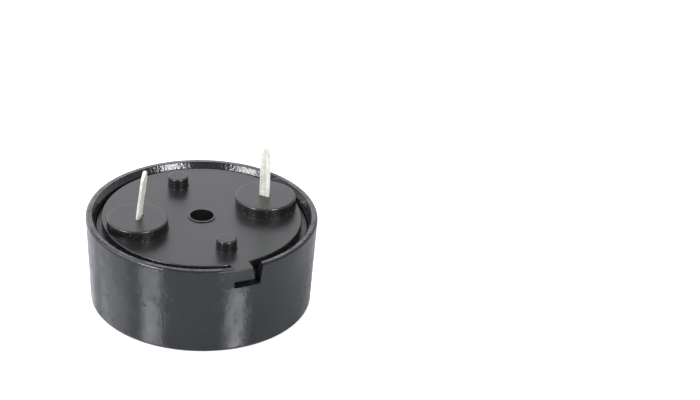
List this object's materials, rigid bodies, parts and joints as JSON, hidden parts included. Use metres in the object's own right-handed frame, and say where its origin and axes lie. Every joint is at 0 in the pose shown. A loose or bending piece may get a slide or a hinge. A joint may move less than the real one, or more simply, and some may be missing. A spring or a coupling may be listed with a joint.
{
  "type": "piezo buzzer",
  "caption": "Round black plastic piezo buzzer with a sound hole in its face and flat solder pins on raised bosses at the other end.",
  "frame": {"origin": "centre of the sound face", "axes": "+Z along the round housing's axis, from the sound face to the pins; +X along the line through both pins, towards the pin that feeds the ceramic's electrode; the key notch is near -Y"},
  "size_m": [0.017, 0.017, 0.0114],
  "materials": {
    "housing_plastic": "satin",
    "base_plastic": "satin",
    "tinned_strip": "satin",
    "brass": "satin",
    "piezo_ceramic": "matte",
    "silver": "matte",
    "silicone": "gloss"
  },
  "bodies": {
    "root": {"housing": "housing_plastic", "base_plate": "base_plastic", "seat_bead": "silicone", "brass_plate": "brass", "piezo_disc": "piezo_ceramic", "silver_electrode": "silver", "plate_terminal": "tinned_strip", "electrode_terminal": "tinned_strip"}
  },
  "joints": []
}
